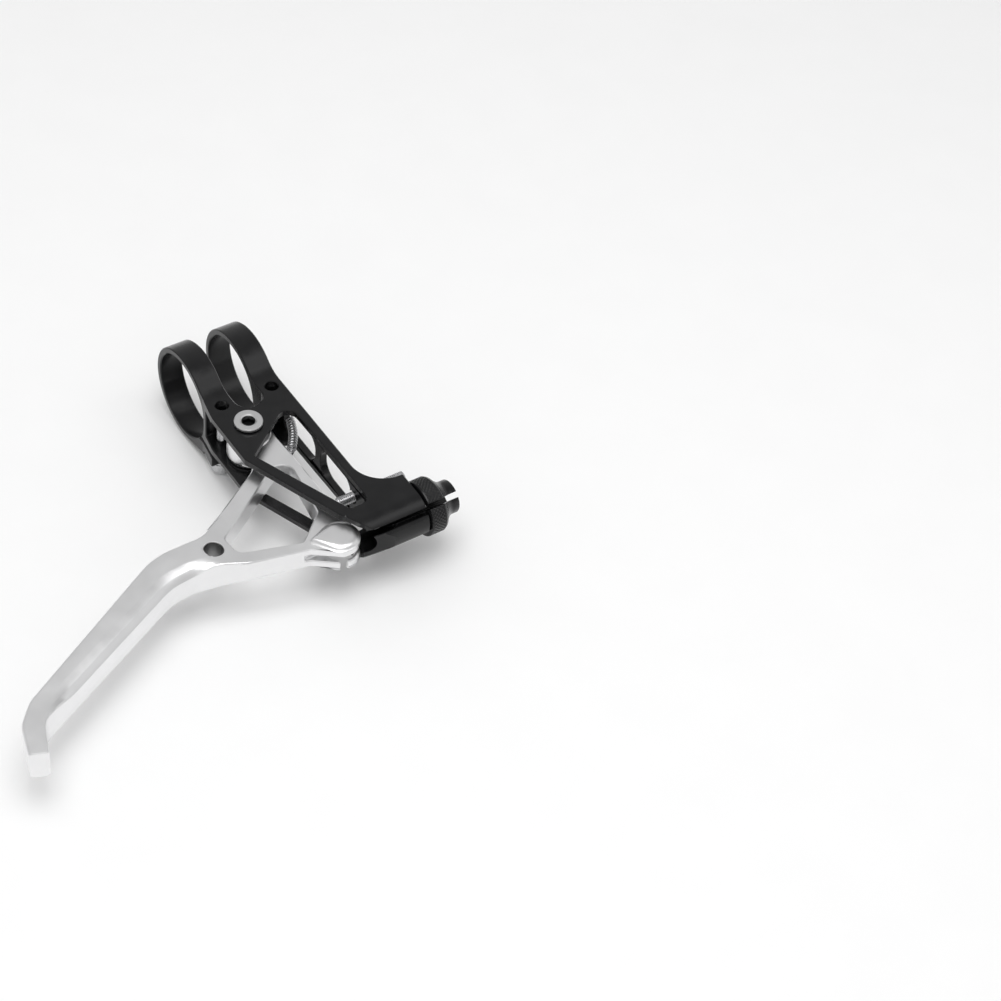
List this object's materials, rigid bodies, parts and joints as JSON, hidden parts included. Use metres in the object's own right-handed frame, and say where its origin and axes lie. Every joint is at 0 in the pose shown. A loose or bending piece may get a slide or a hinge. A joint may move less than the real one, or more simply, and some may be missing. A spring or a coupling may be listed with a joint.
{
  "type": "bicycle brake lever",
  "caption": "Linear-pull brake lever: split handlebar clamp, open bracket with a cable barrel and adjuster, and a pivoted finger blade with its return spring.",
  "frame": {"origin": "on the handlebar's axis, midway between the two clamp rings", "axes": "+X outboard along the handlebar towards the blade's tip, +Y forward from the handlebar to the cable barrel, +Z along the lever's pivot"},
  "size_m": [0.1238, 0.1007, 0.0263],
  "materials": {
    "black_anodised": "satin black anodised, fine bead-blasted grain",
    "silver_anodised": "satin clear anodised",
    "bright_steel": "bright zinc plated",
    "satin_steel": "satin turned head with a bright rim",
    "spring_steel": "bright drawn wire",
    "bearing_polymer": "natural bearing polymer"
  },
  "bodies": {
    "bracket": {"bracket": "black_anodised", "clamp_bolt_inboard": "bright_steel", "clamp_bolt_outboard": "bright_steel", "clamp_washer_inboard": "bright_steel", "clamp_washer_outboard": "bright_steel", "pivot_bolt": "satin_steel", "pivot_nut": "bright_steel", "pivot_sleeve": "bright_steel", "thrust_washer_lower": "bright_steel", "thrust_washer_upper": "bright_steel", "return_spring": "spring_steel"},
    "lever": {"lever_blade": "silver_anodised", "pivot_bushing_lower": "bearing_polymer", "pivot_bushing_upper": "bearing_polymer"},
    "reach_screw": {"reach_screw": "bright_steel"},
    "adjuster": {"barrel_adjuster": "black_anodised"}
  },
  "joints": [
    {"name": "lever_pivot", "type": "hinge", "parent": "bracket", "child": "lever", "pos_m": [0.0045, 0.0234, 0.00185], "axis": [0, 0, -1], "range_deg": [0, 30], "stiffness_Nm_per_rad": 0.15, "springref_deg": -22.92, "deforming": ["return_spring"]},
    {"name": "reach_screw_travel", "type": "slide", "parent": "bracket", "child": "reach_screw", "axis": [-1, 0, 0], "range_m": [0, 0.003]},
    {"name": "adjuster_turn", "type": "hinge", "parent": "bracket", "child": "adjuster", "pos_m": [-0.019, 0.063, 0.00185], "axis": [-1, 0, 0], "range_deg": [0, 1710]}
  ]
}
